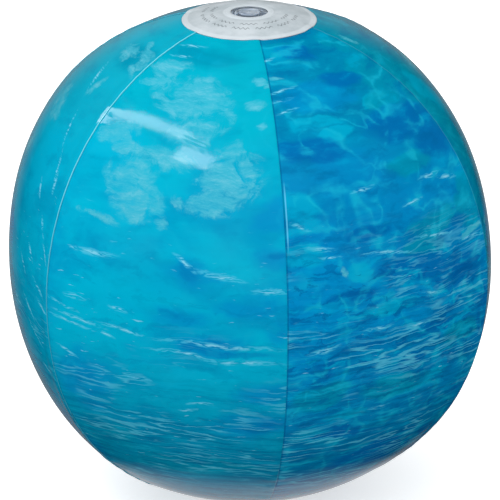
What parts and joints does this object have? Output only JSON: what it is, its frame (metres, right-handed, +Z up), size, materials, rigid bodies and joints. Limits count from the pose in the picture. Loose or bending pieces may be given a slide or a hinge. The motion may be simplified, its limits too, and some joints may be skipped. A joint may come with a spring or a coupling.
{
  "type": "inflatable beach ball",
  "caption": "Inflatable beach ball of welded film gores with polar discs and a push-in valve whose captive plug tips open for blowing it up.",
  "frame": {"origin": "middle of the flat patch on which the ball rests, under the lower polar disc", "axes": "+Z up through the valve in the upper disc; a seam faces -Y; the plug's strap is on the -X side of the valve"},
  "size_m": [0.275, 0.2912, 0.289],
  "materials": {
    "printed_film_turquoise": "glossy printed PVC film, turquoise water",
    "printed_film_blue": "glossy printed PVC film, blue water",
    "printed_film_teal": "glossy printed PVC film, teal water",
    "white_film": "satin white PVC film",
    "clear_pvc": "clear soft moulded PVC"
  },
  "bodies": {
    "ball": {"gore_panel_1": "printed_film_turquoise", "gore_panel_2": "printed_film_blue", "gore_panel_3": "printed_film_teal", "gore_panel_4": "printed_film_blue", "gore_panel_5": "printed_film_teal", "gore_panel_6": "printed_film_turquoise", "top_disc": "white_film", "bottom_disc": "white_film", "valve_flange": "clear_pvc", "valve_skirt": "clear_pvc"},
    "stem": {"valve_stem": "clear_pvc", "plug_strap": "clear_pvc"},
    "plug": {"valve_plug": "clear_pvc"},
    "flap": {"check_flap": "clear_pvc"}
  },
  "joints": [
    {"name": "valve_travel", "type": "slide", "parent": "ball", "child": "stem", "axis": [0, 0, 1], "range_m": [0, 0.022], "deforming": ["valve_skirt"]},
    {"name": "plug_swing", "type": "hinge", "parent": "stem", "child": "plug", "pos_m": [-0.0069, 0, 0.28712], "axis": [0, -1, 0], "range_deg": [0, 105], "deforming": ["plug_strap"]},
    {"name": "flap_swing", "type": "hinge", "parent": "stem", "child": "flap", "pos_m": [-0.0042, 0, 0.27472], "axis": [0, 1, 0], "range_deg": [0, 60], "stiffness_Nm_per_rad": 0.00005, "springref_deg": -8.59}
  ]
}
